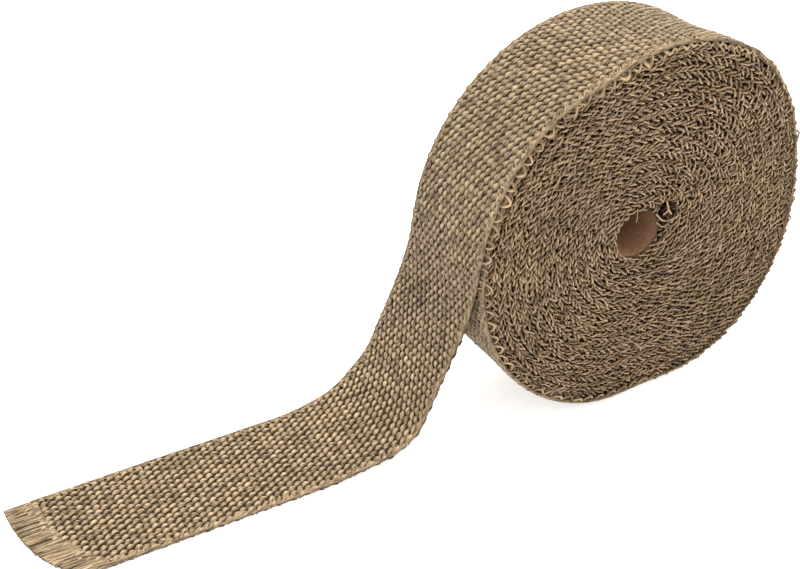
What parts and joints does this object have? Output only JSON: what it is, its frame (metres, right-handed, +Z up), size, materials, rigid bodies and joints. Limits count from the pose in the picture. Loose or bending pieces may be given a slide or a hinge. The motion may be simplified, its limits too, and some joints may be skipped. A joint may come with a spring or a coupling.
{
  "type": "exhaust heat wrap",
  "caption": "Roll of woven heat-resistant tape on a cardboard core, standing on its rim with its free end lying out flat.",
  "frame": {"origin": "middle of the underside of the box around the whole part, on the floor", "axes": "+Z up, +X from the cut end of the tape towards the roll, +Y along the roll's axis away from the pictured face"},
  "size_m": [0.348, 0.0614, 0.1654],
  "materials": {
    "tape": "coarse matte weave",
    "cardboard": "matte"
  },
  "bodies": {
    "root": {"wrap_tape": "tape", "core_tube": "cardboard"}
  },
  "joints": []
}
